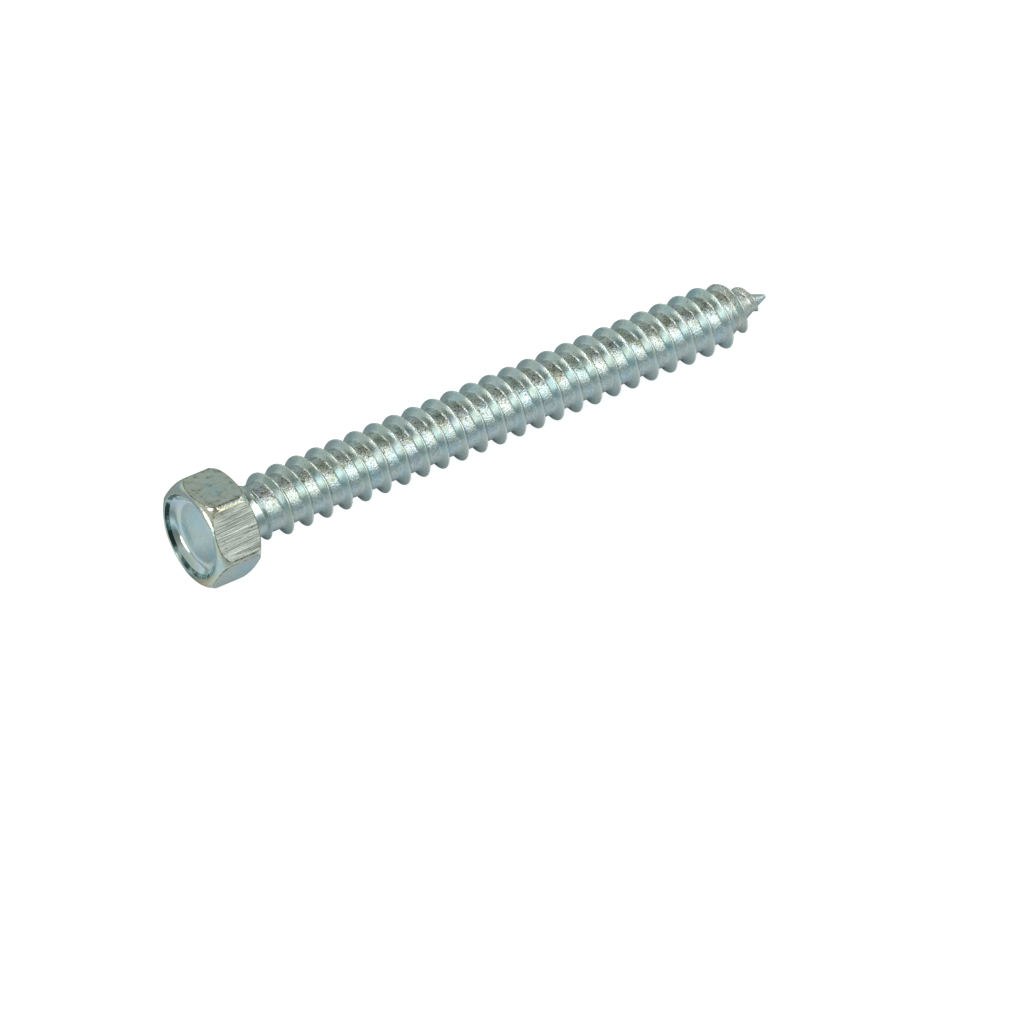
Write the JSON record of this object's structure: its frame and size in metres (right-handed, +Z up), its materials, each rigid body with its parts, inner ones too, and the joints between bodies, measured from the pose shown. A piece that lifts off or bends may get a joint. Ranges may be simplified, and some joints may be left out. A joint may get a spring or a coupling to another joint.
{
  "type": "hex head self-tapping screw",
  "caption": "Self-tapping screw with an indented hex head, a short plain neck and a coarse right-hand thread that runs out to a sharp point, lying on its side.",
  "frame": {"origin": "centre of the footprint of the screw as it lies, at floor level", "axes": "+X along the screw from head to point (the axis dips 1.6 degrees, because the head is wider than the thread), +Y across it, +Z up"},
  "size_m": [0.0542, 0.0088, 0.008],
  "materials": {
    "zinc_plated_steel": "bright blue-white zinc plating over rolled and trimmed steel"
  },
  "bodies": {
    "root": {"screw": "zinc_plated_steel"}
  },
  "joints": []
}
